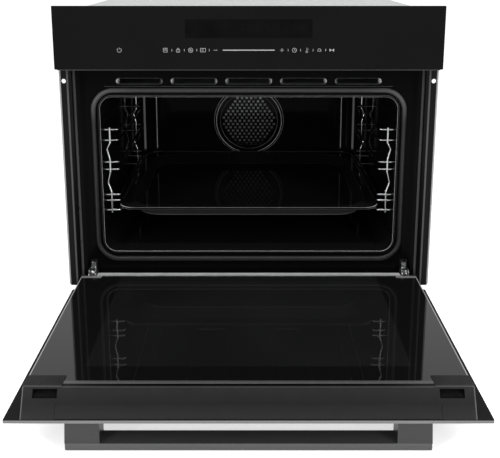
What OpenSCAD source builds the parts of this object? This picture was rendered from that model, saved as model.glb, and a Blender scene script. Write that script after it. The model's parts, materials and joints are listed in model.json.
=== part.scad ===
// Compact built-in oven: glass-fronted drop-down door, touch control panel, enamelled
// convection cavity with wire racks and a baking tray, cooling blower above the cavity.
// Millimetres. X across the front, Y back into the niche, Z up. The origin is on the
// underside of the casing, in the middle of the plane where the side flanges meet the niche.
// The door is drawn open, lying level on its hinges.

/* [Overall size] */
// Width of the glass front
front_w = 595; // [540:1:600]
// Height from the underside to the top of the control panel
front_h = 460; // [430:1:600]
// How far the glass front stands ahead of the niche
front_t = 18; // [17:0.5:20]
// Depth of the casing behind the niche front
body_d = 545; // [500:1:560]
// How far the glass front reaches past each side of the casing
side_overlap = 17.5; // [16:0.5:19]
// How far the control panel reaches above the casing
top_overlap = 10; // [8:0.5:12]

/* [Sheet and glass] */
// Thickness of the zinc-plated casing sheet
sheet_t = 1; // [0.8:0.1:1.2]
// Thickness of the enamelled sheet of the cavity and front frame
enamel_t = 1.5; // [1.2:0.1:2]
// Thickness of the front glass
glass_t = 4; // [3:0.5:5]
// Gap left where two separate pieces lie close together
seat_gap = 0.3; // [0.2:0.05:0.5]

/* [Control panel] */
// Height of the control panel glass
panel_h = 97; // [90:1:105]
// Gap between the control panel and the door
panel_gap = 3; // [2:0.5:5]
// Width of the display behind the glass
display_w = 192; // [150:1:220]
// Height of the display
display_h = 28.5; // [20:0.5:34]
// Height of the middle of the display above the lower edge of the panel
display_rise = 61.5; // [56:0.5:66]

/* [Front frame] */
// Setback of the front frame behind the niche front
frame_y = 27; // [24:0.5:30]
// Thickness of the side flanges
flange_t = 2; // [1.5:0.5:2.5]
// How far each flange stays inside the edge of the glass
flange_inset = 2; // [1:0.5:4]
// Distance of a fixing hole from the outer edge of its flange
fixing_edge = 7; // [6:0.5:8]
// Depth of the fixing holes below the control panel
fixing_drop = 20.5; // [15:0.5:30]
// Diameter of the fixing holes
fixing_d = 7; // [5:0.5:8]
// Number of cooling vents above the cavity
vent_n = 5; // [4:1:6]
// Length of one cooling vent
vent_w = 74.5; // [60:0.5:80]
// Height of one cooling vent
vent_h = 9.5; // [8:0.5:11]
// Distance from one vent to the next
vent_pitch = 87.6; // [84:0.2:98]
// Depth of the middle of the vents below the control panel
vent_drop = 25.4; // [22:0.2:27]

/* [Cavity] */
// Room between the cavity and each side of the casing
side_room = 40; // [36:1:46]
// Height of the cavity floor above the underside
cavity_z = 49; // [44:1:54]
// Room between the cavity and the control panel
crown_room = 51; // [48:1:60]
// Room between the cavity and the back of the casing
back_room = 120; // [108:1:134]
// Corner radius of the cavity opening
cavity_r = 20; // [12:1:26]
// Radius of the upright corners at the back of the cavity
back_r = 40; // [20:1:50]
// Diameter of the gasket tube
gasket_d = 7.7; // [7:0.1:8.4]

/* [Elements and fan] */
// Diameter of the heating elements
heater_d = 6.5; // [6:0.1:8]
// Depth of the grill element below the ceiling
grill_drop = 16; // [14:0.5:20]
// Height of the fan axis above the middle of the cavity
fan_rise = 3.5; // [0:0.5:6]
// Distance between the grill's legs and the rim of the fan chamber
leg_gap = 3.75; // [3:0.25:8]
// Distance from the ring element to the wall of the fan chamber
ring_gap = 17; // [14:0.5:20]
// Distance from the fan wheel to the ring element
fan_gap = 18; // [14:0.5:22]
// Number of fan blades
fan_blades = 10; // [8:1:14]
// How far the fan cover stays inside the fan chamber
cover_gap = 19; // [17:0.5:22]
// Side of one square hole in the fan cover
cover_hole = 4.6; // [3.8:0.1:5]

/* [Racks and tray] */
// Diameter of the upright rack wires
post_d = 4; // [3.6:0.1:4.6]
// Diameter of the rack rungs
rung_d = 3.4; // [3:0.1:3.8]
// How far the rungs reach in from the cavity wall
rung_reach = 25.4; // [23:0.2:28]
// Distance from a cavity wall to the upright wires
post_gap = 11; // [10:0.5:12.5]
// Distance from the tray's rim to each side wall
tray_side = 20.5; // [19:0.5:22]
// Distance from the tray's rim to the back wall
tray_back = 25; // [20:1:40]
// Depth of the baking tray below its rim
tray_h = 20; // [14:0.5:22]
// Thickness of the baking tray sheet
tray_t = 1.2; // [1:0.1:1.6]

/* [Door] */
// Height of the lower edge of the door glass above the underside
door_bottom = 10; // [9:0.5:12]
// How far the door body stays inside each side of the casing
door_inset = 3; // [2.7:0.1:4]
// Thickness of the inner pane
pane_t = 4; // [3:0.5:5]
// Thickness of the middle pane
mid_pane_t = 3; // [3:0.5:4]
// Height of the hinge axis above the lower edge of the glass
hinge_rise = 3.4; // [3:0.1:4]
// Distance from the side of the casing to the middle of each hinge
hinge_inset = 20; // [19.5:0.5:22]
// Radius of the hinge pins
pin_r = 4; // [3.5:0.1:4.5]

/* [Handle] */
// Distance from the side of the glass to the handle
handle_inset = 68; // [50:1:90]
// Height of the handle bar
handle_h = 26; // [20:1:30]
// Thickness of the handle bar
handle_t = 9.4; // [8:0.2:12]
// Finger space behind the bar
handle_gap = 41.6; // [35:0.2:47]
// Width of a handle post
handle_post_w = 44; // [30:1:50]
// Distance from the top of the glass to the handle
handle_drop = 19; // [15:1:22]

/* [Cooling blower] */
// Diameter of the blower wheel
blower_d = 130; // [110:1:146]
// Number of blower blades
blower_blades = 24; // [18:1:30]

/* [Hidden] */
$fn = 48;

eps = 0.01;
bore_clear = 0.05;
knuckle = 0.12;

// Casing
body_w = front_w - 2 * side_overlap;
body_h = front_h - top_overlap;
body_x = body_w / 2;
side_in = body_x - sheet_t;
frame_top = body_h - sheet_t;
frame_back = frame_y + enamel_t;

rib_w = 9;
rib_t = 0.5;

// Glass front: the control panel above the door
front_y = -front_t;
glass_back = front_y + glass_t;
panel_z = front_h - panel_h;
panel_cz = panel_z + panel_h / 2;
door_top = panel_z - panel_gap;
door_h = door_top - door_bottom;

// Side flanges: a flat outer strip, a chamfer, and a wall that runs back to the frame
flange_w = front_w - 2 * flange_inset;
flange_in = body_x + 3.5;
chamfer_d = 5;
trim_wall = 1.5;
trim_x = side_in - trim_wall;
wall_y = chamfer_d - flange_t;
fixing_x = flange_w / 2 - fixing_edge;
fixing_z = panel_z - fixing_drop;

// Control panel: carrier, and the board that stands off it
carrier_w = flange_w - 4;
carrier_h = panel_h - 6;
carrier_t = 1.5;
display_z = panel_z + display_rise;
board_w = carrier_w - 157;
board_h = panel_h - 27;
board_gap = 2.5;
board_screw_x = board_w / 2 - 10;
board_screw_z = board_h / 2 - 5;
board_y = glass_back + carrier_t + board_gap;

// Cavity
cavity_x = body_x - side_room;
cavity_w = 2 * cavity_x;
cavity_top = panel_z - crown_room;
cavity_h = cavity_top - cavity_z;
cavity_cz = cavity_z + cavity_h / 2;
cavity_back = body_d - back_room;
liner_back = cavity_back + enamel_t;

// Gasket ring: its centre line runs round the opening
gasket_side = 10;
gasket_rise = 11.5;
gasket_r = cavity_r + 13.5;
gasket_y = frame_y - gasket_d / 2;

// Grill element below the ceiling
heater_r = heater_d / 2;
grill_z = cavity_top - grill_drop;
grill_x = 20;

// Element below the floor
low_heater_x = 60;
low_heater_z = cavity_z - enamel_t - heater_r;

// Fan chamber behind the cavity, and what turns or heats in it
fan_z = cavity_cz + fan_rise;
chamber_rim = 10;
chamber_r = grill_z - fan_z - heater_r - leg_gap - chamber_rim;
chamber_d = 44;
chamber_back = liner_back + chamber_d;
ring_r = chamber_r - ring_gap;
ring_leg_x = 12;
ring_turn = asin(ring_leg_x / ring_r);
ring_leg_z = fan_z - ring_r * cos(ring_turn);
fan_r = ring_r - fan_gap;
fan_front = liner_back + 7;
fan_width = 24;
shaft_r = 4;
shaft_hole_r = 8;
shaft_end = chamber_back + 40;
cover_r = chamber_r - cover_gap;
cover_screw_r = cover_r - 10;
cover_screw_t = 1.8;
cover_h = 7;
cover_sheet = 1.2;
fan_hole_r = cover_r - 14;

// Lamp and probe in the flat part of the back wall
lamp_r = 24;
lamp_x = -(cavity_x - back_r - 40);
lamp_z = cavity_top - 38;
probe_x = cavity_x - back_r - 40;
probe_z = cavity_top - 24;
probe_r = 2;

// Racks: heights of the rungs, and where the wires run
rack_front = frame_y + 15;
rack_back = cavity_back - 106;
rung_z = [for (share = [0.782, 0.714, 0.5715, 0.5243, 0.3574, 0.3194, 0.2548]) cavity_z + share * cavity_h];
rung_in = cavity_x - rung_reach;
rung_out = cavity_x - seat_gap;
post_x = cavity_x - post_gap;
post_bow = post_x + 5.4;
post_bend = 5;
rung_bend = 6;

// Tray on the lowest rungs
tray_w = cavity_w - 2 * tray_side;
tray_front = frame_y + 10.5;
tray_d = cavity_back - tray_back - tray_front;
tray_rest = rung_z[6] + rung_d / 2 + seat_gap;
tray_rim = tray_rest + tray_t;
tray_bead = 2.4;
tray_lip = 14.5;
tray_r = 55;
tray_draft = 11;

// Top deck: insulation, duct and blower
vent_z = panel_z - vent_drop;
nozzle_d = 5.5;
vent_run = (vent_n - 1) * vent_pitch + vent_w;
wool_top = vent_z - 9.6;
blower_y = 232;
blower_r = blower_d / 2;
blower_inlet_r = blower_r - 22;
drum_r = blower_r + 12;
drum_rim = 8;
drum_h = 44;
duct_z = wool_top + 1;
duct_top = duct_z + 21;
duct_w = vent_run + 35.1;
duct_back = blower_y + drum_r + drum_rim + 13;
drum_top = duct_top + drum_h;
motor_stand = 16;
blower_shaft_r = 3;

// Supply gland in the back sheet
gland_x = -(body_x - 65);
gland_z = body_h - 60;
gland_r = 8;
gland_bore = 4.5;

// Door, described as if closed and then laid open about the hinge axis
hinge_x = body_x - hinge_inset;
hinge_y = frame_y - 10;
hinge_z = door_bottom + hinge_rise;
door_x = body_x - door_inset;
pane_in = frame_y - gasket_d - 1.3;
pane_y = pane_in - pane_t;
pane_bottom = door_bottom + 16;
pane_top = door_top - 33;
pane_apart = 12;
mid_y = pane_y - pane_apart - mid_pane_t;
side_wall = 1.5;
cap_flat = 14;
cap_lip = 0.8;
cap_front_z = door_top - 1.6;
cap_rise = cap_front_z - pane_top - cap_flat;
cap_slope = atan2(cap_rise, pane_in - glass_back);

// Hinges: an arm between two cheeks, and a rod with its spring
arm_t = 8;
cheek_t = 2;
cheek_in = arm_t / 2 + seat_gap;
cheek_out = cheek_in + cheek_t;
channel_top = hinge_z + 0.453 * door_h;
channel_y = pane_y - 2;
lug_r = pin_r + 5;
rod_y = 0;
rod_r = 2;
rod_bottom = hinge_z + 16.6;
abutment_z = hinge_z + 0.127 * door_h;
abutment_t = 3;
nut_z = channel_top - 40;
nut_t = 8;
nut_r = cheek_in - 0.2;
receiver_w = 20;
receiver_d = 46;
receiver_z = 4;
receiver_h = 34;
hook_y = frame_back + 26.5;
hook_z = hinge_z + 0.6;
hook_r = 3;

// Handle
handle_top = door_top - handle_drop;
handle_cz = handle_top - handle_h / 2;
handle_x = front_w / 2 - handle_inset;
handle_back = front_y - handle_gap;
screw_r = 2.5;

// ---------- helpers ----------

// Rounded rectangle on the XY plane, centred
module rrect(w, h, r) {
    square([w - 2 * r, h], center = true);
    square([w, h - 2 * r], center = true);
    for (sx = [-1, 1], sy = [-1, 1])
        translate([sx * (w / 2 - r), sy * (h / 2 - r)]) circle(r = r);
}

// A slot with round ends, along X
module oblong(w, h) {
    square([w - h, h], center = true);
    for (s = [-1, 1]) translate([s * (w - h) / 2, 0]) circle(d = h);
}

// Stands an outline drawn in X and Z upright, from y0 back by len
module along_y(y0, len) {
    translate([0, y0 + len, 0]) rotate([90, 0, 0]) linear_extrude(len) children();
}

// Runs an outline drawn in Y and Z across, from x0 by len
module along_x(x0, len) {
    translate([x0, 0, 0]) rotate([90, 0, 90]) linear_extrude(len) children();
}

// Box between two corners
module block(a, b) {
    translate(a) cube(b - a);
}

// Cylinder along Y from y0 back by len
module rod_along_y(x, z, y0, len, r) {
    translate([x, y0 + len, z]) rotate([90, 0, 0]) cylinder(r = r, h = len);
}

// Cylinder along X from x0 by len
module rod_along_x(y, z, x0, len, r) {
    translate([x0, y, z]) rotate([0, 90, 0]) cylinder(r = r, h = len);
}

function unit(v) = v / norm(v);
function turn(a, b) = acos(max(-1, min(1, a * b)));

// Straight piece of round bar from a to b
module bar(a, b, r) {
    d = b - a;
    translate(a) rotate([0, acos(d[2] / norm(d)), atan2(d[1], d[0])]) cylinder(r = r, h = norm(d));
}

// Round bar bent along a list of points, with every corner rounded to bend_r
module bent_bar(pts, bend_r, r, closed = false) {
    n = len(pts);
    last = closed ? n - 1 : n - 2;
    function at(i) = pts[(i + n) % n];
    function dir(i) = unit(at(i + 1) - at(i));
    function cut(i) = !closed && (i == 0 || i == n - 1) ? 0
        : bend_r * tan(turn(dir(i - 1), dir(i)) / 2);
    for (i = [0:last]) bar(at(i) + dir(i) * cut(i), at(i + 1) - dir(i) * cut((i + 1) % n), r);
    for (i = [(closed ? 0 : 1):(closed ? n - 1 : n - 2)]) {
        a = dir(i - 1);
        b = dir(i);
        bend = turn(a, b);
        c = at(i) + unit(b - a) * bend_r / cos(bend / 2);
        u = unit(at(i) - a * cut(i) - c);
        w = cross(u, a);
        multmatrix([[u[0], a[0], w[0], c[0]], [u[1], a[1], w[1], c[1]],
                    [u[2], a[2], w[2], c[2]], [0, 0, 0, 1]])
            rotate_extrude(angle = bend) translate([bend_r, 0]) circle(r = r);
    }
}

// Round bar kinked at each point, with a slight knuckle where it was bent cold
module kinked_bar(pts, r) {
    for (i = [0:len(pts) - 2]) bar(pts[i], pts[i + 1], r);
    for (i = [1:len(pts) - 2]) translate(pts[i]) sphere(r = r + knuckle);
}

// Mirrors a right-hand piece to the left
module left() {
    mirror([1, 0, 0]) children();
}

module both_sides() {
    children();
    left() children();
}

// Lays a piece of the closed door open about the hinge axis
module laid_open() {
    translate([0, hinge_y, hinge_z]) rotate([90, 0, 0]) translate([0, -hinge_y, -hinge_z]) children();
}

// ---------- front ----------

module cavity_outline(grow = 0) {
    translate([0, cavity_cz]) rrect(cavity_w + 2 * grow, cavity_h + 2 * grow, cavity_r + grow);
}

module at_vents() {
    for (i = [0:vent_n - 1]) translate([(i - (vent_n - 1) / 2) * vent_pitch, 0, vent_z]) children();
}

module front_frame() color([0.05, 0.05, 0.055]) {
    slot_w = arm_t + 2;
    lip_w = 2.5;
    lip_h = 1;
    bead_h = 1.2;
    along_y(frame_y, enamel_t) difference() {
        translate([-side_in, sheet_t]) square([2 * side_in, frame_top - sheet_t]);
        cavity_outline();
        for (i = [0:vent_n - 1]) translate([(i - (vent_n - 1) / 2) * vent_pitch, vent_z])
            oblong(vent_w, vent_h);
        for (s = [-1, 1]) translate([s * hinge_x - slot_w / 2, hinge_z - 6.4])
            square([slot_w, 26]);
    }
    along_y(frame_y - lip_h, lip_h) difference() {
        cavity_outline(lip_w);
        cavity_outline();
    }
    along_x(-duct_w / 2, duct_w)
        polygon([[frame_y, vent_z - 10], [frame_y - bead_h, vent_z - 8.2], [frame_y, vent_z - 6.4]]);
}

// Air guide behind each vent, with ends that slope inward
module vent_nozzles() color([0.62, 0.64, 0.66]) at_vents() {
    wall = 0.8;
    clear_h = vent_h - 0.6;
    x = vent_w / 2;
    y1 = frame_back + nozzle_d;
    slope_end = x - nozzle_d + 0.6;
    difference() {
        block([-x - wall, frame_back, -clear_h / 2 - wall], [x + wall, y1, clear_h / 2 + wall]);
        translate([0, 0, -clear_h / 2]) linear_extrude(clear_h) polygon([[-x, frame_back - 1],
            [x, frame_back - 1], [x, frame_back], [slope_end, y1], [slope_end, y1 + 1],
            [-slope_end, y1 + 1], [-slope_end, y1], [-x, frame_back]]);
    }
}

module side_trim() {
    end_r = 4;
    color([0.06, 0.06, 0.065]) difference() {
        translate([0, 0, sheet_t]) linear_extrude(frame_top - sheet_t) polygon([
            [flange_w / 2, -flange_t], [flange_in, -flange_t], [trim_x, wall_y], [trim_x, frame_y],
            [side_in, frame_y], [side_in, wall_y + 0.7], [flange_in, 0], [flange_w / 2, 0]]);
        rod_along_y(fixing_x, fixing_z, -flange_t - 1, flange_t + 2, fixing_d / 2);
        along_y(-flange_t - 1, flange_t + 2) translate([flange_w / 2 - end_r, sheet_t]) difference() {
            translate([0, -1]) square([end_r + 1, end_r + 1]);
            translate([0, end_r]) circle(r = end_r);
        }
    }
}

module control_panel_glass() color([0.03, 0.03, 0.035])
    along_y(front_y, glass_t) translate([0, panel_cz]) rrect(front_w, panel_h, 1.5);

module control_panel_carrier() color([0.12, 0.12, 0.13]) {
    w = carrier_w;
    h = carrier_h;
    wall = 2;
    rib_x = display_w / 2 + 54;
    lip_t = 1.2;
    face_back = glass_back + carrier_t;
    along_y(glass_back, carrier_t) translate([0, panel_cz]) difference() {
        rrect(w, h, 3);
        translate([0, display_z - panel_cz]) square([display_w, display_h], center = true);
    }
    along_y(face_back, -flange_t - face_back) translate([0, panel_cz]) difference() {
        rrect(w, h, 3);
        rrect(w - 2 * wall, h - 2 * wall, 1.5);
    }
    for (sx = [-1, 1], sz = [-1, 1])
        rod_along_y(sx * board_screw_x, panel_cz + sz * board_screw_z, face_back, board_gap, 4);
    // lip that closes the lower edge of the glass
    block([-w / 2, front_y + 1, panel_z - lip_t], [w / 2, face_back, panel_z]);
    block([-w / 2, glass_back, panel_z - lip_t], [w / 2, face_back, panel_cz - h / 2 + wall]);
    for (s = [-1, 1]) block([s * rib_x - 1, face_back, panel_cz - h / 2 + wall],
        [s * rib_x + 1, face_back + board_gap - 0.5, panel_cz + h / 2 - wall]);
}

module touch_board() {
    board_t = 1.6;
    screen_t = 3.4;
    chip = 8;
    back = board_y + board_t;
    color([0.05, 0.25, 0.12]) along_y(board_y, board_t) translate([0, panel_cz]) rrect(board_w, board_h, 3);
    color([0.02, 0.02, 0.02])
        block([-display_w / 2 + 1, board_y - screen_t, display_z - display_h / 2 + 1],
            [display_w / 2 - 1, board_y, display_z + display_h / 2 - 1]);
    color([0.1, 0.1, 0.1]) for (x = [-145, -110, 110, 145])
        block([x - chip, back, panel_cz - chip], [x + chip, back + 2, panel_cz + chip]);
}

// ---------- cavity ----------

// Plan of the cavity with its two rounded back corners
module cavity_plan(grow, y0, y1) {
    x = cavity_x + grow;
    translate([-x, y0]) square([2 * x, y1 - y0 - back_r]);
    translate([back_r - x, y0]) square([2 * (x - back_r), y1 - y0]);
    for (s = [-1, 1]) translate([s * (x - back_r), y1 - back_r]) circle(r = back_r);
}

module cavity_form(grow, y0, y1) intersection() {
    along_y(y0, y1 - y0) cavity_outline(grow);
    linear_extrude(front_h) cavity_plan(grow, y0, y1);
}

module cavity_liner() color([0.04, 0.04, 0.045]) difference() {
    cavity_form(enamel_t, frame_back, liner_back);
    cavity_form(0, frame_back - 1, cavity_back);
    rod_along_y(0, fan_z, cavity_back - 1, enamel_t + 2, fan_hole_r);
    for (s = [-1, 1])
        rod_along_y(s * grill_x, grill_z, cavity_back - 1, enamel_t + 2, heater_r + seat_gap);
    rod_along_y(lamp_x, lamp_z, cavity_back - 1, enamel_t + 2, lamp_r - 4);
    rod_along_y(probe_x, probe_z, cavity_back - 1, enamel_t + 2, probe_r + seat_gap);
    for (a = [45:90:315]) cover_screw_at(a) rod_along_y(0, 0, cavity_back - 1, enamel_t + 2, 1.6);
}

module door_gasket() color([0.25, 0.25, 0.26]) {
    x = cavity_x + gasket_side;
    z0 = cavity_z - gasket_rise;
    z1 = cavity_top + gasket_rise;
    y = gasket_y;
    bent_bar([[-x, y, z0], [x, y, z0], [x, y, z1], [-x, y, z1]], gasket_r, gasket_d / 2, closed = true);
}

module cover_screw_at(a) {
    translate([cover_screw_r * cos(a), 0, fan_z + cover_screw_r * sin(a)]) children();
}

module fan_cover() color([0.05, 0.05, 0.055]) {
    field_r = cover_r - 19;
    bead_r = cover_r - 15;
    disc_r = cover_r - 6;
    rim_h = 3;
    step = 1.5;
    pitch_x = 9.9;
    pitch_z = 7.2;
    cols = ceil(field_r / pitch_x);
    rows = ceil(field_r / pitch_z);
    face_y = cavity_back - cover_h;
    difference() {
        union() {
            along_y(face_y, cover_sheet) translate([0, fan_z]) circle(r = disc_r + step / 2);
            translate([0, cavity_back, fan_z]) rotate([90, 0, 0]) rotate_extrude() {
                polygon([[disc_r, cover_h], [disc_r + step, cover_h], [disc_r + 2 * step, rim_h],
                    [cover_r - 1, rim_h], [cover_r, rim_h - 1], [cover_r, 0], [cover_r - cover_sheet, 0],
                    [cover_r - cover_sheet, rim_h - cover_sheet], [disc_r + step, rim_h - cover_sheet],
                    [disc_r, cover_h - cover_sheet]]);
                polygon([[bead_r, cover_h - cover_sheet / 2], [bead_r + 2, cover_h - cover_sheet / 2],
                    [bead_r + 1.5, cover_h + 0.8], [bead_r + 0.5, cover_h + 0.8]]);
            }
            for (a = [45:90:315]) cover_screw_at(a) rod_along_y(0, 0, face_y + 0.5, cover_h - 0.5, 3.4);
        }
        for (j = [-rows:rows], i = [-cols:cols]) {
            x = (i + (j % 2 == 0 ? 0 : 0.5)) * pitch_x;
            z = j * pitch_z;
            if (norm([x, z]) < field_r) along_y(face_y - 2, cover_h)
                translate([x, fan_z + z]) square(cover_hole, center = true);
        }
        for (a = [45:90:315]) cover_screw_at(a) rod_along_y(0, 0, face_y - 1, cover_h + 2, 1.6);
    }
}

module fan_cover_screws() color([0.1, 0.1, 0.11])
    for (a = [45:90:315]) cover_screw_at(a) {
        rod_along_y(0, 0, cavity_back - cover_h - cover_screw_t, cover_screw_t, 2.6);
        rod_along_y(0, 0, cavity_back - cover_h, cover_h + enamel_t + 3, 1.5);
    }

module fan_chamber() color([0.5, 0.5, 0.52]) difference() {
    wall = 1;
    translate([0, liner_back, fan_z]) rotate([-90, 0, 0]) rotate_extrude() polygon([
        [chamber_r - wall, 0], [chamber_r + chamber_rim, 0], [chamber_r + chamber_rim, wall],
        [chamber_r, wall],
        [chamber_r, chamber_d], [shaft_hole_r, chamber_d], [shaft_hole_r, chamber_d - wall],
        [chamber_r - wall, chamber_d - wall]]);
    for (s = [-1, 1])
        rod_along_y(s * ring_leg_x, ring_leg_z, chamber_back - 3, 6, heater_r + seat_gap);
}

module ring_heater() color([0.35, 0.33, 0.3]) {
    y = liner_back + 20;
    for (s = [-1, 1]) {
        rod_along_y(s * ring_leg_x, ring_leg_z, y, chamber_back + 14 - y, heater_r);
        translate([s * ring_leg_x, y, ring_leg_z]) sphere(r = heater_r + knuckle);
    }
    translate([0, y, fan_z]) rotate([90, 0, 0]) rotate([0, 0, -90 + ring_turn])
        rotate_extrude(angle = 360 - 2 * ring_turn) translate([ring_r, 0]) circle(r = heater_r);
}

module grill_heater() color([0.32, 0.3, 0.28]) {
    y_back = cavity_back - 34;
    y_mid = cavity_back - 84;
    y_front = frame_y + 112;
    y_hook = (y_mid + y_front) / 2;
    x_out = cavity_x - 45;
    x_in = 45;
    x = [x_in, (x_in + x_out) / 2, x_out];
    half = [[grill_x, liner_back + 14], [grill_x, y_back], [x[2], y_back], [x[2], y_front],
        [x[1], y_front], [x[1], y_mid], [x[0], y_mid], [x[0], y_front]];
    pts = concat([for (p = half) [p[0], p[1], grill_z]],
        [for (i = [len(half) - 1:-1:0]) [-half[i][0], half[i][1], grill_z]]);
    bent_bar(pts, 16, heater_r);
    for (s = [-1, 1]) bar([s * x[1], y_hook, grill_z], [s * x[1], y_hook, cavity_top], 1.5);
}

module bottom_heater() color([0.32, 0.3, 0.28]) {
    z = low_heater_z;
    x = cavity_x - 70;
    y0 = frame_y + 70;
    y1 = cavity_back - 60;
    end = liner_back + 20;
    bent_bar([[low_heater_x, end, z], [low_heater_x, y1, z], [x, y1, z], [x, y0, z], [-x, y0, z],
        [-x, y1, z], [-low_heater_x, y1, z], [-low_heater_x, end, z]], 20, heater_r);
}

// ---------- racks and tray ----------

// Upright wire: straight between rungs and bowed outward between levels
function post_path(y) = [[post_x, y, rung_z[0] + rung_d], [post_x, y, rung_z[1] - post_bend],
    [post_bow, y, (rung_z[1] + rung_z[2]) / 2 + 3], [post_x + 1, y, rung_z[2] + post_bend],
    [post_x + 1, y, rung_z[3] - post_bend], [post_bow, y, (rung_z[3] + rung_z[4]) / 2 - 1],
    [post_x, y, rung_z[4] + post_bend], [post_x, y, rung_z[6] - 4]];

module rack() color([0.8, 0.8, 0.82]) {
    for (z = rung_z) bent_bar([[rung_out, rack_front, z], [rung_in, rack_front, z],
        [rung_in, rack_back, z], [rung_out, rack_back, z]], rung_bend, rung_d / 2);
    for (y = [rack_front, rack_back]) kinked_bar(post_path(y), post_d / 2);
}

module tray_outline(inset) {
    side = 2 * (tray_lip + inset);
    rrect(tray_w - side, tray_d - side, tray_r - inset, $fn = 32);
}

module tray_body(grow, z0, z1) hull() {
    translate([0, 0, z1 - eps]) linear_extrude(eps) tray_outline(grow);
    translate([0, 0, z0]) linear_extrude(eps) tray_outline(grow + tray_draft);
}

module baking_tray() color([0.05, 0.05, 0.055]) translate([0, tray_front + tray_d / 2, 0]) {
    floor_z = tray_rim - tray_h;
    rim_r = 26;
    difference() {
        union() {
            translate([0, 0, tray_rest]) linear_extrude(tray_t) rrect(tray_w, tray_d, rim_r);
            tray_body(0, floor_z, tray_rim);
        }
        tray_body(tray_t, floor_z + tray_t, tray_rim + 1);
    }
    translate([0, 0, tray_rim]) linear_extrude(tray_bead) difference() {
        rrect(tray_w, tray_d, rim_r);
        rrect(tray_w - 4, tray_d - 4, rim_r - 2);
    }
}

// ---------- lamp and probe ----------

module lamp_housing() color([0.85, 0.83, 0.78]) difference() {
    rod_along_y(lamp_x, lamp_z, liner_back, 36, lamp_r - 2);
    rod_along_y(lamp_x, lamp_z, liner_back - 1, 31, lamp_r - 5);
}

module lamp_bulb() color([0.95, 0.93, 0.85])
    translate([lamp_x, liner_back + 30, lamp_z]) rotate([90, 0, 0]) rotate_extrude()
        polygon([[0, 0], [7, 0], [7, 8], [10, 13], [10, 22], [7, 27], [0, 28]]);

module lamp_lens() color([0.8, 0.85, 0.85, 0.4])
    translate([lamp_x, cavity_back, lamp_z]) rotate([90, 0, 0]) rotate_extrude()
        polygon([[0, 13], [12, 12], [19, 7], [21, 3], [lamp_r, 3], [lamp_r, 0],
            [lamp_r - 5, 0], [lamp_r - 5, 3], [17, 5], [11, 9.5], [0, 10.5]]);

module temperature_probe() color([0.75, 0.75, 0.76]) {
    rod_along_y(probe_x, probe_z, cavity_back - 70, 70 + enamel_t + 12, probe_r);
    rod_along_y(probe_x, probe_z, liner_back, 4, 6);
}

// ---------- insulation and casing ----------

module insulation() color([0.75, 0.72, 0.6]) {
    gap = 1;
    side = side_in - 9;
    back = chamber_back - 4;
    cut_y = liner_back - 1;
    cut_d = chamber_d + 9;
    room_x = cavity_x + enamel_t + gap;
    pocket_x = receiver_w / 2 + 3;
    pocket_y = frame_back + receiver_d + 12;
    difference() {
        block([-side, frame_back + gap, 9], [side, back, wool_top]);
        block([-room_x, frame_back - 1, low_heater_z - heater_r - gap],
            [room_x, liner_back + gap, cavity_top + enamel_t + gap]);
        rod_along_y(0, fan_z, cut_y, cut_d, chamber_r + chamber_rim + gap);
        rod_along_y(lamp_x, lamp_z, cut_y, cut_d, lamp_r + gap);
        rod_along_y(probe_x, probe_z, cut_y, cut_d, 6 + gap);
        for (s = [-1, 1]) {
            rod_along_y(s * grill_x, grill_z, cut_y, cut_d, heater_r + gap);
            rod_along_y(s * low_heater_x, low_heater_z, cut_y, cut_d, heater_r + gap);
            block([s * hinge_x - pocket_x, frame_back, 0],
                [s * hinge_x + pocket_x, pocket_y, receiver_z + receiver_h + 3]);
        }
    }
}

module slots_row(n, pitch, w, h) {
    for (i = [0:n - 1]) translate([(i - (n - 1) / 2) * pitch, 0]) oblong(w, h);
}

module casing_bottom() color([0.62, 0.64, 0.66]) difference() {
    block([-body_x, 0, 0], [body_x, body_d, sheet_t]);
    // the foot of the open door swings down between the two side strips
    block([-trim_x, -1, -1], [trim_x, frame_y, sheet_t + 1]);
    for (y = [body_d - 60, body_d - 40])
        translate([0, y, -1]) linear_extrude(sheet_t + 2) slots_row(6, 70, 50, 6);
}

// Ribs pressed into each side sheet, drawn in Y and Z
module side_ribs(w) {
    for (z = [body_h * 0.2, body_h * 0.45, body_h * 0.7])
        translate([body_d * 0.48, z]) oblong(body_d * 0.6, w);
}

module casing_side() color([0.62, 0.64, 0.66]) difference() {
    fold = 14;
    union() {
        block([side_in, wall_y + 1, sheet_t], [body_x, body_d, frame_top]);
        along_x(side_in - rib_t, sheet_t) side_ribs(rib_w);
        block([side_in - fold, frame_back + 2, frame_top - sheet_t], [body_x, body_d - 4, frame_top]);
        block([side_in - fold - 6, body_d - 2 * sheet_t, sheet_t + 2],
            [body_x, body_d - sheet_t, frame_top - 2]);
    }
    along_x(body_x - rib_t, sheet_t) side_ribs(rib_w - 2);
    for (z = [body_h - 70, body_h - 55, body_h - 40]) along_x(side_in - 1, sheet_t + 2)
        translate([body_d - 90, z]) oblong(90, 5);
    back_screw_places() rod_along_y(0, 0, body_d - 2 * sheet_t - 1, sheet_t + 2, 1.6);
}

// Cross ribs pressed into the top sheet
module top_ribs(w) {
    for (i = [0:2]) translate([0, body_d * (0.16 + 0.2 * i)]) oblong(body_w * 0.8, w);
}

module casing_top() color([0.62, 0.64, 0.66]) difference() {
    fold = 22;
    union() {
        block([-body_x, wall_y + 1, frame_top], [body_x, body_d, body_h]);
        translate([0, 0, frame_top - rib_t]) linear_extrude(sheet_t) top_ribs(rib_w);
        block([fold - side_in, body_d - 2 * sheet_t, body_h - fold],
            [side_in - fold, body_d - sheet_t, body_h]);
    }
    back_screw_places() rod_along_y(0, 0, body_d - 2 * sheet_t - 1, sheet_t + 2, 1.6);
    translate([0, 0, body_h - rib_t]) linear_extrude(sheet_t) top_ribs(rib_w - 2);
    for (y = [body_d - 150, body_d - 130, body_d - 110, body_d - 90])
        translate([0, y, frame_top - 1]) linear_extrude(sheet_t + 2) slots_row(5, 80, 60, 6);
}

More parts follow.
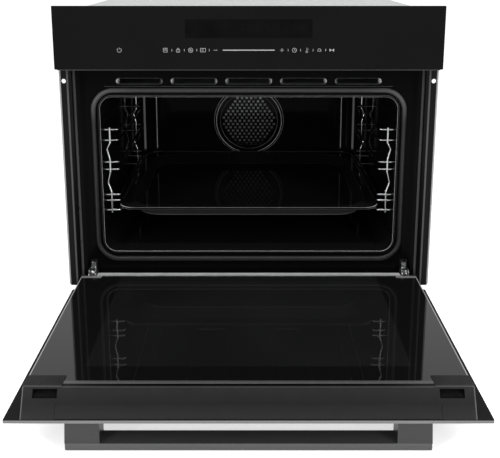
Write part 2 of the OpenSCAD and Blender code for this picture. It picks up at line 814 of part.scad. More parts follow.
module back_screw_places() {
    for (s = [-1, 1], z = [30, body_h / 2, body_h - 30]) translate([s * (side_in - 12), 0, z]) children();
    for (s = [-1, 1]) translate([s * 90, 0, body_h - 14]) children();
}

module casing_back() color([0.62, 0.64, 0.66]) difference() {
    block([-side_in, body_d - sheet_t, sheet_t], [side_in, body_d, frame_top]);
    for (z = [body_h - 50, body_h - 36]) translate([-60, body_d + 1, z]) rotate([90, 0, 0])
        linear_extrude(sheet_t + 2) slots_row(4, 60, 44, 6);
    back_screw_places() rod_along_y(0, 0, body_d - sheet_t - 1, sheet_t + 2, 1.6);
    rod_along_y(gland_x, gland_z, body_d - sheet_t - 1, sheet_t + 2, gland_r + 0.2);
}

module casing_screws() color([0.7, 0.7, 0.72]) back_screw_places() {
    rod_along_y(0, 0, body_d, 1.8, 3.4);
    rod_along_y(0, 0, body_d - sheet_t - 5, sheet_t + 5, 1.5);
}

module cable_gland() color([0.08, 0.08, 0.08]) difference() {
    union() {
        rod_along_y(gland_x, gland_z, body_d - sheet_t - 18, 18 + sheet_t, gland_r);
        rod_along_y(gland_x, gland_z, body_d, 5, gland_r + 3);
        rod_along_y(gland_x, gland_z, body_d - sheet_t - 6, 6, gland_r + 3);
    }
    rod_along_y(gland_x, gland_z, body_d - sheet_t - 19, sheet_t + 30, gland_bore);
}

module terminal_block() color([0.85, 0.85, 0.8]) {
    y = body_d - sheet_t - 52;
    difference() {
        block([gland_x - 22, y, gland_z - 12], [gland_x + 22, y + 30, gland_z + 12]);
        for (i = [-1:1]) rod_along_y(gland_x + i * 12, gland_z, y + 12, 20, 3);
    }
    // foot that stands the block on a bracket from the back sheet
    block([gland_x - 22, y, gland_z - 15], [gland_x + 22, body_d - sheet_t, gland_z - 12]);
}

// ---------- fans ----------

module fan_axis() translate([0, 0, fan_z]) children();

module convection_fan() color([0.6, 0.6, 0.62]) fan_axis() {
    hub_r = 11;
    blade_in = fan_r - 36;
    bend_r = fan_r - 16;
    plate = 1.2;
    back = fan_front + fan_width;
    rod_along_y(0, 0, back - plate, plate, fan_r);
    rod_along_y(0, 0, back - 14, 14, hub_r);
    rod_along_y(0, 0, fan_front - 2, shaft_end - fan_front + 2, shaft_r);
    for (i = [0:fan_blades - 1]) rotate([0, i * 360 / fan_blades, 0]) {
        block([blade_in, fan_front, -plate / 2], [bend_r, back - plate / 2, plate / 2]);
        translate([bend_r - 0.3, 0, 0]) rotate([0, 28, 0])
            block([0, fan_front, -plate / 2], [fan_r - bend_r - 2, back - plate / 2, plate / 2]);
    }
}

module convection_fan_nut() color([0.7, 0.7, 0.7]) fan_axis() difference() {
    translate([0, fan_front + fan_width - 14, 0]) rotate([90, 0, 0]) cylinder(r = 8, h = 6, $fn = 6);
    rod_along_y(0, 0, fan_front, fan_width, shaft_r);
}

module convection_motor() color([0.5, 0.5, 0.52]) fan_axis() {
    stand = 6;
    plate_w = 2 * fan_r;
    plate_h = plate_w / 2 + 4;
    stack_w = plate_w / 2;
    stack_h = stack_w - 6;
    stack_d = 26;
    y = chamber_back + stand;
    difference() {
        union() {
            along_y(y, 2) rrect(plate_w, plate_h, 6);
            along_y(y + 2, stack_d) rrect(stack_w, stack_h, 3);
            along_y(y + 6, stack_d - 8) rrect(stack_w + 18, stack_h / 2, 6);
            along_y(y + 2 + stack_d, 3) rrect(stack_w - 20, stack_h, 3);
            rod_along_y(0, 0, y + stack_d, 14, 11);
        }
        rod_along_y(0, 0, y - 1, shaft_end - y + 2, shaft_r + bore_clear);
    }
    for (sx = [-1, 1], sz = [-1, 1])
        rod_along_y(sx * (plate_w / 2 - 8), sz * (plate_h / 2 - 8), chamber_back, stand, 3);
}

module air_duct() color([0.66, 0.67, 0.69]) {
    wall = 0.8;
    hole_r = blower_r - 4;
    difference() {
        block([-duct_w / 2, frame_back, duct_z], [duct_w / 2, duct_back, duct_top]);
        block([-duct_w / 2 + wall, frame_back - 1, duct_z + wall],
            [duct_w / 2 - wall, duct_back - wall, duct_top - wall]);
        translate([0, blower_y, duct_top - 5]) cylinder(r = hole_r, h = 10);
    }
}

module blower_housing() color([0.66, 0.67, 0.69]) translate([0, blower_y, duct_top]) {
    wall = 1;
    rotate_extrude() polygon([[drum_r - wall, 0], [drum_r + drum_rim, 0], [drum_r + drum_rim, wall],
        [drum_r, wall], [drum_r, drum_h], [blower_inlet_r, drum_h], [blower_inlet_r, drum_h - wall],
        [drum_r - wall, drum_h - wall]]);
    for (a = [30:120:270]) rotate(a)
        block([blower_inlet_r, -4, drum_h], [blower_inlet_r + 5, 4, drum_h + motor_stand]);
}

module blower_motor() color([0.45, 0.45, 0.48]) {
    plate = 1.5;
    can_h = 18;
    translate([0, blower_y, drum_top + motor_stand]) difference() {
        union() {
            cylinder(r = blower_inlet_r + 5, h = plate);
            translate([0, 0, plate]) cylinder(r = 26, h = can_h);
        }
        translate([0, 0, -1]) cylinder(r = blower_shaft_r + bore_clear, h = can_h - 1);
    }
}

module blower_wheel() color([0.7, 0.7, 0.72]) translate([0, blower_y, duct_top]) {
    inner = blower_r - 14;
    z0 = 6;
    z1 = drum_h - 7;
    plate = 1.2;
    translate([0, 0, z0]) cylinder(r = blower_r, h = plate);
    translate([0, 0, z0]) cylinder(r = 8, h = 20);
    translate([0, 0, z0]) cylinder(r = blower_shaft_r, h = drum_h + motor_stand + 14 - z0);
    for (i = [0:blower_blades - 1]) rotate(i * 360 / blower_blades) translate([inner, 0, z0 + plate / 2])
        rotate(35) cube([12, 0.8, z1 - z0 - plate / 2]);
}

module control_unit() color([0.15, 0.16, 0.16]) {
    x0 = 96;
    y0 = 60;
    w = 120;
    d = 140;
    h = 40;
    wall = 2;
    floor_z = duct_top + wall;
    board_z = floor_z + 1.6;
    difference() {
        block([x0, y0, duct_top], [x0 + w, y0 + d, duct_top + h]);
        block([x0 + wall, y0 + wall, floor_z], [x0 + w - wall, y0 + d - wall, duct_top + h + 1]);
    }
    block([x0 + wall + 2, y0 + wall + 2, floor_z], [x0 + w - wall - 2, y0 + d - wall - 2, board_z]);
    for (i = [0:3]) block([x0 + 12 + i * 26, y0 + 30, board_z], [x0 + 30 + i * 26, y0 + 60, duct_top + 26]);
}

// ---------- hinges on the oven side ----------

module hinge_receiver() color([0.6, 0.61, 0.62]) translate([hinge_x, 0, 0]) {
    wall = 2;
    w = receiver_w / 2;
    y1 = frame_back + receiver_d;
    difference() {
        block([-w, frame_back, receiver_z], [w, y1, receiver_z + receiver_h]);
        block([-w + wall, frame_back - 1, receiver_z + wall],
            [w - wall, y1 - wall, receiver_z + receiver_h - wall]);
    }
    rod_along_x(hook_y, hook_z, -w + wall, receiver_w - 2 * wall, hook_r);
}

module hinge_arm() color([0.72, 0.73, 0.74]) {
    x0 = hinge_x - arm_t / 2;
    difference() {
        union() {
            rod_along_x(hinge_y, hinge_z, x0, arm_t, lug_r - 1);
            along_x(x0, arm_t) polygon([[hinge_y - 5, hinge_z + 4], [hinge_y + 2, hinge_z + 7],
                [frame_y - 3, hinge_z + 17], [hook_y + 8, hinge_z + 17], [hook_y + 10, hinge_z + 14],
                [hook_y + 10, hook_z - 3], [hook_y - 8, hook_z - 5], [frame_y, hinge_z - 4],
                [hinge_y + 3, hinge_z - 6]]);
        }
        rod_along_x(hinge_y, hinge_z, x0 - 1, arm_t + 2, pin_r + bore_clear);
        rod_along_x(hook_y, hook_z, x0 - 1, arm_t + 2, hook_r + seat_gap);
        block([x0 - 1, hook_y - hook_r - seat_gap, hook_z - 20],
            [x0 + arm_t + 1, hook_y + hook_r + seat_gap, hook_z]);
    }
}

// ---------- door ----------

module door_outer_glass() color([0.03, 0.03, 0.035, 0.95]) laid_open() difference() {
    along_y(front_y, glass_t) translate([0, door_bottom + door_h / 2]) rrect(front_w, door_h, 1.5);
    handle_screw_places() rod_along_y(0, 0, front_y - 1, glass_t + 2, screw_r + 0.5);
}

module door_middle_pane() color([0.5, 0.55, 0.55, 0.4]) laid_open() {
    x = hinge_x - cheek_out - 3;
    block([-x, mid_y, pane_bottom], [x, mid_y + mid_pane_t, pane_top]);
}

module door_inner_pane() color([0.2, 0.22, 0.22, 0.6]) laid_open()
    block([-door_x, pane_y, pane_bottom], [door_x, pane_in, pane_top]);

module door_side_profile() color([0.25, 0.25, 0.26]) laid_open() {
    x0 = hinge_x + cheek_out + 1;
    translate([0, 0, pane_bottom - 12]) linear_extrude(pane_top - pane_bottom + 12) polygon([
        [x0, glass_back], [door_x, glass_back], [door_x, pane_y], [door_x - 5, pane_y],
        [door_x - 5, pane_y - side_wall], [door_x - side_wall, pane_y - side_wall],
        [door_x - side_wall, glass_back + side_wall], [x0, glass_back + side_wall]]);
}

// Works on the sloped face of the cap: x across, y down the slope, z into the cap
module on_cap_face()
    translate([0, pane_in, pane_top + cap_flat]) rotate([180 - cap_slope, 0, 0]) children();

module door_top_cap() color([0.22, 0.22, 0.23]) laid_open() {
    slot_w = 30.5;
    slot_h = 11;
    slot_x = door_x - 28;
    inset_w = 2 * door_x - 82;
    inset_y = 17.6;
    corner_x = door_x - 48;
    corner_h = 11;
    difference() {
        along_x(-door_x, 2 * door_x) polygon([[pane_in, pane_top], [pane_in, pane_top + cap_flat],
            [glass_back, cap_front_z], [glass_back, pane_top]]);
        for (s = [-1, 1])
            on_cap_face() translate([s * slot_x - slot_w / 2, 1.4, -1]) cube([slot_w, slot_h, 8]);
        on_cap_face() translate([0, inset_y + 15, -1]) linear_extrude(1.8) rrect(inset_w, 30, 3);
        handle_screw_places() rod_along_y(0, 0, glass_back - 1, 26, 6);
    }
    for (s = [-1, 1]) block([s > 0 ? corner_x : -door_x, pane_in, pane_top - corner_h],
        [s > 0 ? door_x : -corner_x, pane_in + cap_lip, pane_top + cap_flat]);
}

module door_bottom_profile() color([0.4, 0.4, 0.41]) laid_open() {
    x = hinge_x - cheek_out - 2;
    z0 = pane_bottom - 12;
    wall = 2;
    along_x(-x, 2 * x) polygon([[glass_back, z0], [glass_back, pane_bottom], [pane_in, pane_bottom],
        [pane_in, z0], [pane_in - wall, z0], [pane_in - wall, pane_bottom - wall],
        [glass_back + wall, pane_bottom - wall], [glass_back + wall, z0]]);
}

module hinge_channel() color([0.62, 0.63, 0.64]) laid_open() {
    for (x = [cheek_in, -cheek_out]) along_x(hinge_x + x, cheek_t) difference() {
        union() {
            translate([hinge_y, hinge_z]) circle(r = lug_r);
            polygon([[glass_back + cheek_t, hinge_z + 3], [glass_back + cheek_t, channel_top],
                [channel_y, channel_top], [channel_y, pane_bottom], [hinge_y + 3, hinge_z + 8.4],
                [hinge_y, hinge_z - lug_r], [0, hinge_z - 5]]);
        }
        translate([hinge_y, hinge_z]) circle(r = pin_r);
    }
    block([hinge_x - cheek_out, glass_back, hinge_z + 3],
        [hinge_x + cheek_out, glass_back + cheek_t, channel_top]);
    difference() {
        block([hinge_x - cheek_in, glass_back + cheek_t, abutment_z],
            [hinge_x + cheek_in, channel_y, abutment_z + abutment_t]);
        translate([hinge_x, rod_y, abutment_z - 1]) cylinder(r = rod_r + seat_gap, h = abutment_t + 2);
    }
}

module hinge_pins() color([0.5, 0.5, 0.52]) both_sides()
    rod_along_x(hinge_y, hinge_z, hinge_x - cheek_out, 2 * cheek_out, pin_r);

// Coil spring round the rod, squeezed between the abutment and the nut
module hinge_springs() color([0.35, 0.36, 0.38]) laid_open() both_sides() {
    turns = 8;
    steps = 9;
    wire_r = 0.8;
    coil_r = rod_r + wire_r + 0.3;
    z0 = abutment_z + abutment_t + seat_gap + wire_r;
    z1 = nut_z - seat_gap - wire_r;
    n = turns * steps;
    sides = 5;
    pts = [for (i = [0:n], k = [0:sides - 1]) let (a = i * 360 / steps, b = k * 360 / sides,
        r = coil_r + wire_r * cos(b)) [hinge_x + r * cos(a), rod_y + r * sin(a),
        z0 + (z1 - z0) * i / n + wire_r * sin(b)]];
    tube = [for (i = [0:n - 1], k = [0:sides - 1]) let (p = i * sides + k, q = i * sides + (k + 1) % sides)
        [p, q, q + sides, p + sides]];
    start = [for (k = [sides - 1:-1:0]) k];
    end = [for (k = [0:sides - 1]) n * sides + k];
    polyhedron(pts, concat(tube, [start, end]), convexity = 12);
}

module hinge_rods() color([0.7, 0.7, 0.72]) laid_open() both_sides() translate([hinge_x, rod_y, 0]) {
    translate([0, 0, rod_bottom]) cylinder(r = rod_r, h = nut_z - rod_bottom);
    translate([0, 0, nut_z]) cylinder(r = nut_r, h = nut_t);
}

// ---------- handle ----------

module handle_screw_places()
    for (s = [-1, 1])
        translate([s * (handle_x - handle_post_w / 2), 0, handle_cz]) children();

module handle_bar() color([0.42, 0.42, 0.43]) laid_open()
    along_y(handle_back - handle_t, handle_t)
        translate([0, handle_cz]) rrect(2 * handle_x, handle_h, 1.5);

module handle_post() color([0.42, 0.42, 0.43]) laid_open() difference() {
    taper = 2;
    translate([0, 0, handle_top - handle_h]) linear_extrude(handle_h) polygon([
        [handle_x, handle_back], [handle_x - taper, front_y], [handle_x - handle_post_w, front_y],
        [handle_x - handle_post_w, handle_back]]);
    rod_along_y(handle_x - handle_post_w / 2, handle_cz, front_y - 20, 21, screw_r + bore_clear);
}

module handle_screws() color([0.6, 0.6, 0.62]) laid_open() handle_screw_places() {
    rod_along_y(0, 0, front_y - 18, 18 + glass_t, screw_r);
    rod_along_y(0, 0, glass_back, 3, 5);
}

// ---------- assembly ----------

front_frame();
vent_nozzles();
left() side_trim();  // side_trim_left
side_trim();  // side_trim_right
control_panel_glass();
control_panel_carrier();
touch_board();
cavity_liner();
door_gasket();
fan_cover();
fan_cover_screws();
fan_chamber();
ring_heater();
grill_heater();
bottom_heater();
left() rack();  // rack_left
rack();  // rack_right
lamp_housing();
lamp_bulb();
lamp_lens();
temperature_probe();
insulation();
casing_bottom();
left() casing_side();  // casing_left
casing_side();  // casing_right
casing_top();
casing_back();
casing_screws();
convection_motor();
air_duct();
blower_housing();
blower_motor();
control_unit();
terminal_block();
cable_gland();
left() hinge_receiver();  // hinge_receiver_left
hinge_receiver();  // hinge_receiver_right
left() hinge_arm();  // hinge_arm_left
hinge_arm();  // hinge_arm_right
convection_fan();
convection_fan_nut();
blower_wheel();
baking_tray();
door_outer_glass();
door_middle_pane();
door_inner_pane();
left() door_side_profile();  // door_side_profile_left
door_side_profile();  // door_side_profile_right
door_top_cap();
door_bottom_profile();
left() hinge_channel();  // hinge_channel_left
hinge_channel();  // hinge_channel_right
hinge_pins();
hinge_springs();
hinge_rods();
handle_bar();
left() handle_post();  // handle_post_left
handle_post();  // handle_post_right
handle_screws();
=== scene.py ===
"""Looks of a compact built-in oven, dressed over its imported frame. Metres throughout."""
import math

import bmesh
import bpy
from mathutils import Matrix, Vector
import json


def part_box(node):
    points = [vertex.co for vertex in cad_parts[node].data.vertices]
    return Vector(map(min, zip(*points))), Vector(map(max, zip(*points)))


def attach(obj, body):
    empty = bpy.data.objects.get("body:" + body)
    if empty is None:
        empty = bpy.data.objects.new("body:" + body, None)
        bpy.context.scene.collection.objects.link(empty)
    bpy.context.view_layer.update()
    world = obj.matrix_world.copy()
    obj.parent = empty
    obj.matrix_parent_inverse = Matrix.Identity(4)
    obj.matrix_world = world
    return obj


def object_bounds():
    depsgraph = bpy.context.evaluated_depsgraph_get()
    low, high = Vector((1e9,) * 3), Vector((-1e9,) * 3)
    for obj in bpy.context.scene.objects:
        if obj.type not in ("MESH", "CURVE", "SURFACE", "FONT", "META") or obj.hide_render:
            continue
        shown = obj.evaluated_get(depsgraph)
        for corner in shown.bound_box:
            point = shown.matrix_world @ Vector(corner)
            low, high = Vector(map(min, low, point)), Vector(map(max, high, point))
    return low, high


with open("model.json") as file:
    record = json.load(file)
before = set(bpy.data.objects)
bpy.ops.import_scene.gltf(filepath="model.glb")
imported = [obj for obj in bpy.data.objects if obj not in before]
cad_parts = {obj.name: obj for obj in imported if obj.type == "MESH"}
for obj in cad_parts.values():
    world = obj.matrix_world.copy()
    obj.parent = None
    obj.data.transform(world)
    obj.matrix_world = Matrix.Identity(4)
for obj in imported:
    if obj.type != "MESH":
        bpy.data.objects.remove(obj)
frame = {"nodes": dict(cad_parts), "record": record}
CAD_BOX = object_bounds()
NODES = frame["nodes"]
PARTS = frame["record"]["subparts"]
MM = 0.001
# Height of the axis that the fan, its cover and its chamber share
FAN_Z = 184 * MM
# Down the sloped face of the door's cap, and square into it
CAP_DOWN = Vector((0, -0.478, -0.879))
CAP_INTO = Vector((0, 0.879, -0.478))


# ---------- materials ----------

class Finish:
    """A Principled material, with short helpers for the procedural nodes that drive it."""

    def __init__(self, name, color, roughness, metallic=0.0, **sockets):
        """Other sockets are named in lower case, such as specular_ior_level."""
        self.mat = bpy.data.materials.new(name)
        self.mat.use_nodes = True
        self.tree = self.mat.node_tree
        self.bsdf = self.tree.nodes["Principled BSDF"]
        self.color = color
        self.put("Base Color", (*color, 1.0))
        self.put("Roughness", roughness)
        self.put("Metallic", metallic)
        for socket, value in sockets.items():
            self.put(socket.replace("_", " ").title().replace("Ior", "IOR"), value)

    def put(self, socket, value):
        self.bsdf.inputs[socket].default_value = value

    def add(self, kind, **values):
        node = self.tree.nodes.new("ShaderNode" + kind)
        for key, value in values.items():
            if hasattr(node, key):
                setattr(node, key, value)
            else:
                node.inputs[key.replace("_", " ").title()].default_value = value
        return node

    def link(self, source, target):
        self.tree.links.new(source, target)

    def place(self, stretch=(1, 1, 1)):
        """Coordinates of the piece itself, in metres, stretched along an axis for grain."""
        coords = self.add("TexCoord")
        mapping = self.add("Mapping")
        mapping.inputs["Scale"].default_value = stretch
        self.link(coords.outputs["Object"], mapping.inputs["Vector"])
        return mapping.outputs["Vector"]

    def noise(self, scale, detail, stretch=(1, 1, 1)):
        node = self.add("TexNoise", scale=scale, detail=detail, roughness=0.55)
        self.link(self.place(stretch), node.inputs["Vector"])
        return node.outputs["Fac"]

    def cells(self, scale, output="Color", feature="F1"):
        node = self.add("TexVoronoi", feature=feature, scale=scale)
        self.link(self.place(), node.inputs["Vector"])
        return node.outputs[output]

    def axis(self, letter):
        """One coordinate of the piece itself, in metres."""
        split = self.add("SeparateXYZ")
        self.link(self.place(), split.inputs[0])
        return split.outputs[letter]

    def normal(self, letter):
        """How squarely the surface faces one way along an axis of the piece, from -1 to 1."""
        coords = self.add("TexCoord")
        split = self.add("SeparateXYZ")
        self.link(coords.outputs["Normal"], split.inputs[0])
        return split.outputs[letter]

    def facing(self, letter):
        return self.math("ABSOLUTE", self.normal(letter))

    def side(self):
        """Distance from the middle of the object, to the left or right."""
        return self.math("ABSOLUTE", self.axis("X"))

    def along(self, direction):
        """Distance of a point along a direction, from the origin of the frame."""
        dot = self.add("VectorMath", operation="DOT_PRODUCT")
        self.link(self.place(), dot.inputs[0])
        dot.inputs[1].default_value = direction
        return dot.outputs["Value"]

    def outline(self, low, high, corner):
        """Distance outside an upright rounded rectangle, given by its corners as (x, z)."""
        total = 0.0
        for letter, near, far in (("X", low[0], high[0]), ("Z", low[1], high[1])):
            away = self.math("ABSOLUTE", self.math("SUBTRACT", self.axis(letter), (near + far) / 2))
            beyond = self.math("SUBTRACT", away, (far - near) / 2 - corner)
            outside = self.math("MAXIMUM", beyond, 0.0)
            total = self.math("ADD", self.math("POWER", outside, 2), total)
        return self.math("SUBTRACT", self.math("SQRT", total), corner)

    def radius(self, z):
        """Distance from an axis that runs front to back at this height."""
        up = self.math("SUBTRACT", self.axis("Z"), z)
        flat = self.math("ADD", self.math("POWER", self.axis("X"), 2), self.math("POWER", up, 2))
        return self.math("SQRT", flat)

    def math(self, operation, *values):
        node = self.add("Math", operation=operation)
        for socket, value in zip(node.inputs, values):
            if isinstance(value, bpy.types.NodeSocket):
                self.link(value, socket)
            else:
                socket.default_value = value
        return node.outputs[0]

    def both(self, first, second):
        """Product of two masks, such as two bands that cross."""
        return self.math("MULTIPLY", first, second)

    def ridge(self, value, centre, half):
        """1 at the centre of a narrow band, falling to 0 at its edges."""
        away = self.math("ABSOLUTE", self.math("SUBTRACT", value, centre))
        return self.range(away, 1, 0, half * 0.5, half)

    def range(self, value, low, high, start=0.3, stop=0.7):
        """Runs from low to high as the value runs from start to stop."""
        node = self.add("MapRange")
        names = ("From Min", "From Max", "To Min", "To Max")
        for socket, number in zip(names, (start, stop, low, high)):
            node.inputs[socket].default_value = number
        self.link(value, node.inputs["Value"])
        return node.outputs["Result"]

    def past(self, value, place, fade):
        """0 up to a place, and 1 from a fade's width past it."""
        return self.range(value, 0, 1, place, place + fade)

    def before(self, value, place, fade):
        """1 up to a place, and 0 from a fade's width past it."""
        return self.range(value, 1, 0, place, place + fade)

    def mix(self, factor, dark, light):
        """Base colour between two shades, by a factor from 0 to 1."""
        node = self.add("Mix", data_type="RGBA")
        # The node's sockets for colours, among those that it keeps for other data
        amount, first, second = node.inputs[0], node.inputs[6], node.inputs[7]
        result = node.outputs[2]
        for socket, shade in ((first, dark), (second, light)):
            if isinstance(shade, bpy.types.NodeSocket):
                self.link(shade, socket)
            else:
                socket.default_value = (*shade, 1.0)
        self.link(factor, amount)
        self.link(result, self.bsdf.inputs["Base Color"])

    def over(self, factor, level):
        """Lays a grey of this level over the base colour made so far."""
        under = self.bsdf.inputs["Base Color"].links[0].from_socket
        self.mix(factor, under, (level, level, level))

    def shade(self, factor, spread):
        """Varies the base colour by a share of itself either way."""
        self.mix(factor, *([c * (1 + part) for c in self.color] for part in (-spread, spread)))

    def mottle(self, scale, detail, spread):
        """Varies the base colour in soft patches."""
        self.shade(self.range(self.noise(scale, detail), 0, 1), spread)

    def rough(self, factor, low, high):
        self.link(self.range(factor, low, high), self.bsdf.inputs["Roughness"])

    def bump(self, *layers):
        """Height layers as (value, depth in metres), stacked one on another."""
        normal = None
        for value, depth in layers:
            node = self.add("Bump")
            node.inputs["Strength"].default_value = 1.0
            node.inputs["Distance"].default_value = depth
            self.link(value, node.inputs["Height"])
            if normal:
                self.link(normal, node.inputs["Normal"])
            normal = node.outputs["Normal"]
        self.link(normal, self.bsdf.inputs["Normal"])


def glass(name, shade, face, level):
    """Black printed glass, with a ground edge all round. It faces along one axis."""
    ground_edge = 0.2
    m = Finish(name, (shade, shade, shade * 1.05), 0.03, specular_ior_level=level)
    m.rough(m.noise(9, 4), 0.02, 0.06)
    m.mottle(16, 3, 0.07)
    m.over(m.before(m.facing(face), 0.4, 0.2), ground_edge)
    m.bump((m.noise(14, 1), 0.02 * MM))
    return m


def black_glass():
    return glass("black_glass", 0.0045, "Y", 0.045)


def door_glass():
    return glass("door_glass", 0.0052, "Z", 0.045)


def pane_glass():
    """Inner panes: clear in the middle, with a black printed border and pale ground edges."""
    border, side_edge, rear_edge = 0.004, 0.28, 0.16
    clear_x, clear_y, edge_x = 209.5 * MM, -264.5 * MM, 275 * MM
    corner_x, rear_y = 242.5 * MM, -4 * MM
    m = Finish("pane_glass", (0.0075, 0.0076, 0.0078), 0.015, specular_ior_level=0.4)
    m.rough(m.noise(11, 4), 0.008, 0.035)
    m.mottle(5, 2, 0.2)
    m.over(m.past(m.side(), clear_x, 1.0 * MM), border)
    m.over(m.before(m.axis("Y"), clear_y, 1.0 * MM), border)
    m.over(m.past(m.side(), edge_x, 0.6 * MM), side_edge)
    rear = m.past(m.axis("Y"), rear_y, 0.5 * MM)
    m.over(m.both(rear, m.past(m.side(), corner_x, 1.0 * MM)), rear_edge)
    return m


def clear_glass():
    m = Finish("clear_glass", (0.9, 0.93, 0.93), 0.05, transmission_weight=0.9)
    m.rough(m.noise(60, 2), 0.03, 0.09)
    return m


def enamel(name, shade, roughness, level):
    """Vitreous enamel: orange peel, and fine flecks fired into the black."""
    m = Finish(name, (shade, shade, shade * 1.08), roughness, specular_ior_level=level)
    fleck_gain, flecks_per_metre = 2.2, 1400
    flecks = m.before(m.cells(flecks_per_metre, output="Distance"), 0.05, 0.11)
    m.mix(flecks, m.color, [c * fleck_gain for c in m.color])
    m.rough(m.noise(25, 3), roughness * 0.7, roughness * 1.4)
    m.bump((m.noise(320, 1), 0.02 * MM), (m.noise(45, 1), 0.06 * MM))
    return m


def black_enamel():
    return enamel("black_enamel", 0.0014, 0.06, 0.045)


def cavity_enamel():
    """Painted highlights: bright upright lines where the back wall bends into the sides, above the
    tray.
    """
    tray_rim = 119 * MM
    m = enamel("cavity_enamel", 0.0044, 0.06, 0.013)
    above_tray = m.past(m.axis("Z"), tray_rim, 6 * MM)
    # Painted highlights down the bends of each back corner
    for bend_highlight, half, level in ((201.5, 1.2, 0.6), (226.5, 2.4, 0.35)):
        m.over(m.both(m.ridge(m.side(), bend_highlight * MM, half * MM), above_tray), level)
    return m


def cover_ring_highlights(m):
    """Painted highlights: two bright rings round the fan cover and a faint one inside them."""
    half = 1.0 * MM
    across = m.radius(FAN_Z)
    for crest, level in ((75.7, 0.65), (70.6, 0.55), (62.0, 0.08)):
        # A painted highlight along each ring
        m.over(m.ridge(across, crest * MM, half), level)
    return m


def cover_enamel():
    return cover_ring_highlights(enamel("cover_enamel", 0.0025, 0.06, 0.03))


def tray_enamel():
    """Greyer outside on the front wall, with a painted highlight along its foot."""
    wall, foot_highlight = 0.025, 0.10
    wall_y, wall_top, foot_z = 76 * MM, 116.2 * MM, 100.2 * MM
    m = enamel("tray_enamel", 0.0060, 0.06, 0.035)
    below_rim = m.before(m.axis("Z"), wall_top, 0.8 * MM)
    front = m.both(m.before(m.axis("Y"), wall_y, 12 * MM), below_rim)
    m.over(front, wall)
    # Painted highlight along the foot of the front wall
    m.over(m.both(front, m.ridge(m.axis("Z"), foot_z, 1.0 * MM)), foot_highlight)
    return m


def frame_enamel():
    """A little greyer down the two sides."""
    sides, side_x = 0.009, 270 * MM
    m = enamel("frame_enamel", 0.002, 0.1, 0.02)
    m.over(m.past(m.side(), side_x, 3 * MM), sides)
    return m


def trim(name):
    """Black paint with a fine grain."""
    m = Finish(name, (0.002, 0.002, 0.0022), 0.3, specular_ior_level=0.08)
    m.rough(m.noise(40, 3), 0.26, 0.38)
    m.mottle(25, 3, 0.2)
    m.bump((m.noise(1800, 2), 0.03 * MM))
    return m


def trim_black():
    return trim("trim_black")


def side_trim():
    """Painted flange, with painted highlights on its rim and at its fold, and a painted reflection
    deep in the return.
    """
    rim_highlight, fold_highlight, inner = 0.3, 0.09, 0.13
    rim_x, fold_x, inner_y = 292.6 * MM, 282.8 * MM, 9 * MM
    m = trim("side_trim")
    # Painted highlights on the rim and along the fold
    m.over(m.past(m.side(), rim_x, 1.0 * MM), rim_highlight)
    m.over(m.ridge(m.side(), fold_x, 1.5 * MM), fold_highlight)
    # Painted reflection of the studio light on the return
    m.over(m.past(m.axis("Y"), inner_y, 7 * MM), inner)
    return m


def chrome_wire():
    m = Finish("chrome_wire", (0.29, 0.29, 0.297), 0.1, metallic=1.0)
    m.rough(m.noise(90, 3), 0.05, 0.16)
    m.mottle(30, 2, 0.06)
    m.bump((m.noise(900, 2, stretch=(1, 1, 0.15)), 0.01 * MM))
    return m


def brushed(name, shade):
    """Dark brushed metal with the grain along the width of the door."""
    m = Finish(name, (shade, shade, shade * 1.02), 0.34, metallic=0.4, anisotropic=0.5)
    grain = m.noise(1500, 3, stretch=(0.012, 1, 1))
    m.shade(m.range(grain, 0, 1), 0.14)
    m.rough(grain, 0.28, 0.42)
    m.bump((grain, 0.012 * MM))
    return m


def dark_steel():
    return brushed("dark_steel", 0.086)


# Painted shade: a darker copy of the handle's brushed steel, for its posts
def shaded_post_steel():
    return brushed("shaded_post_steel", 0.034)


def zinc(name, shade, spangle):
    """Galvanised sheet, with spangle of this many cells to the metre."""
    m = Finish(name, (shade, shade * 1.015, shade * 1.03), 0.42, metallic=0.9)
    split = m.add("SeparateColor")
    m.link(m.cells(spangle), split.inputs["Color"])
    m.shade(m.range(split.outputs[0], 0, 1, 0, 1), 0.06)
    m.link(m.range(split.outputs[1], 0.32, 0.52, 0, 1), m.bsdf.inputs["Roughness"])
    m.bump((m.noise(500, 2), 0.02 * MM), (m.noise(8, 2), 0.2 * MM))
    return m


def zinc_sheet():
    return zinc("zinc_sheet", 0.3, 130)


def lit_top_zinc():
    """Painted light: a brighter copy of the casing's sheet for its top, which almost vanishes
    against a white ground.
    """
    return zinc("lit_top_zinc", 0.47, 130)


def zinc_forged():
    """Dull, with painted glints as bright spots."""
    glint = 0.4
    m = zinc("zinc_forged", 0.04, 420)
    # Painted glints in bright spots
    m.over(m.past(m.noise(330, 2), 0.57, 0.04), glint)
    return m


# Painted shade: a much darker copy of the galvanised sheet, for the chamber behind the fan cover
def shaded_chamber_zinc():
    return zinc("shaded_chamber_zinc", 0.032, 150)


def vent_zinc():
    """Painted shade along each vent, and painted highlights brightening out to its sloped ends."""
    half_pitch, half_flat, sloped_end_highlight = 43.8 * MM, 32.5 * MM, 0.85
    # A darker copy of the galvanised sheet, as painted shade inside the vents
    m = zinc("vent_zinc", 0.08, 200)
    across = m.math("WRAP", m.axis("X"), half_pitch, -half_pitch)
    # Painted highlights out to the sloped ends
    m.over(m.past(m.math("ABSOLUTE", across), half_flat, 4.7 * MM), sloped_end_highlight)
    return m


def profile_zinc():
    """Pale sheet, darker along its front strip."""
    front_strip, strip_y = 0.22, 6.8 * MM
    m = zinc("profile_zinc", 0.66, 150)
    m.put("Metallic", 0.5)
    m.over(m.before(m.axis("Y"), strip_y, 1.7 * MM), front_strip)
    return m


def steel_part():
    m = Finish("steel_part", (0.42, 0.43, 0.44), 0.33, metallic=1.0)
    m.rough(m.noise(160, 3), 0.25, 0.45)
    m.bump((m.noise(1200, 2), 0.02 * MM))
    return m


